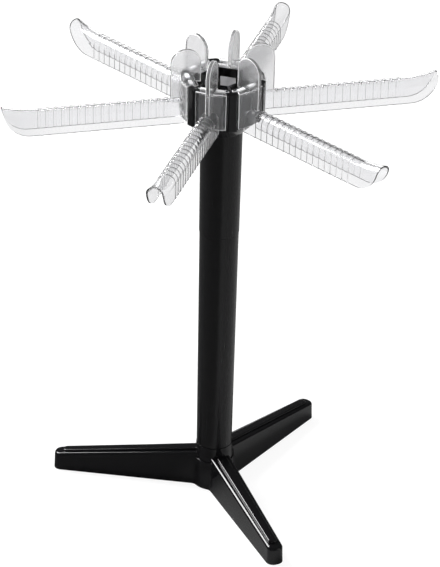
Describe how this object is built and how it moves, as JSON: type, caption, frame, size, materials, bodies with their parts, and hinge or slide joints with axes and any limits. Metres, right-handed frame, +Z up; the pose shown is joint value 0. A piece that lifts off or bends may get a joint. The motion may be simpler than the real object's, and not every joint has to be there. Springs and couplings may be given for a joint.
{
  "type": "pasta drying rack",
  "caption": "Free-standing pasta drying rack: a legged base, a turning post and a hub whose open bays hold clear ribbed arms that lift out.",
  "frame": {"origin": "on the floor under the post's axis", "axes": "+Z up along the post; +X along the first arm; the legs stand at -81 degrees and every 120 degrees from there"},
  "size_m": [0.4298, 0.3796, 0.4915],
  "materials": {
    "black_plastic": "moulded black plastic, glossy, with faint sink marks",
    "post_plastic": "extruded black plastic, a little softer in shine than the mouldings",
    "inner_plastic": "matt dark grey plastic, inside the post",
    "clear_plastic": "clear moulded plastic, polished",
    "pad_rubber": "soft matt pads",
    "screw_steel": "zinc plated"
  },
  "bodies": {
    "base": {"base": "black_plastic", "foot_pad_1": "pad_rubber", "foot_pad_2": "pad_rubber", "foot_pad_3": "pad_rubber"},
    "post": {"lower_post": "post_plastic", "upper_post": "post_plastic", "hub": "black_plastic", "post_foot": "inner_plastic", "post_coupler": "inner_plastic", "post_head": "inner_plastic", "base_screw": "screw_steel", "base_washer": "screw_steel", "hub_screw": "screw_steel", "hub_washer": "screw_steel"},
    "arm_1": {"arm_1": "clear_plastic"},
    "arm_2": {"arm_2": "clear_plastic"},
    "arm_3": {"arm_3": "clear_plastic"},
    "arm_4": {"arm_4": "clear_plastic"},
    "arm_5": {"arm_5": "clear_plastic"},
    "arm_6": {"arm_6": "clear_plastic"}
  },
  "joints": [
    {"name": "post_turn", "type": "hinge", "parent": "base", "child": "post", "pos_m": [0, 0, 0], "axis": [0, 0, 1], "continuous": true},
    {"name": "arm_1_lift", "type": "slide", "parent": "post", "child": "arm_1", "axis": [0, 0, 1], "range_m": [0, 0.038]},
    {"name": "arm_2_lift", "type": "slide", "parent": "post", "child": "arm_2", "axis": [0, 0, 1], "range_m": [0, 0.038]},
    {"name": "arm_3_lift", "type": "slide", "parent": "post", "child": "arm_3", "axis": [0, 0, 1], "range_m": [0, 0.038]},
    {"name": "arm_4_lift", "type": "slide", "parent": "post", "child": "arm_4", "axis": [0, 0, 1], "range_m": [0, 0.038]},
    {"name": "arm_5_lift", "type": "slide", "parent": "post", "child": "arm_5", "axis": [0, 0, 1], "range_m": [0, 0.038]},
    {"name": "arm_6_lift", "type": "slide", "parent": "post", "child": "arm_6", "axis": [0, 0, 1], "range_m": [0, 0.038]}
  ]
}
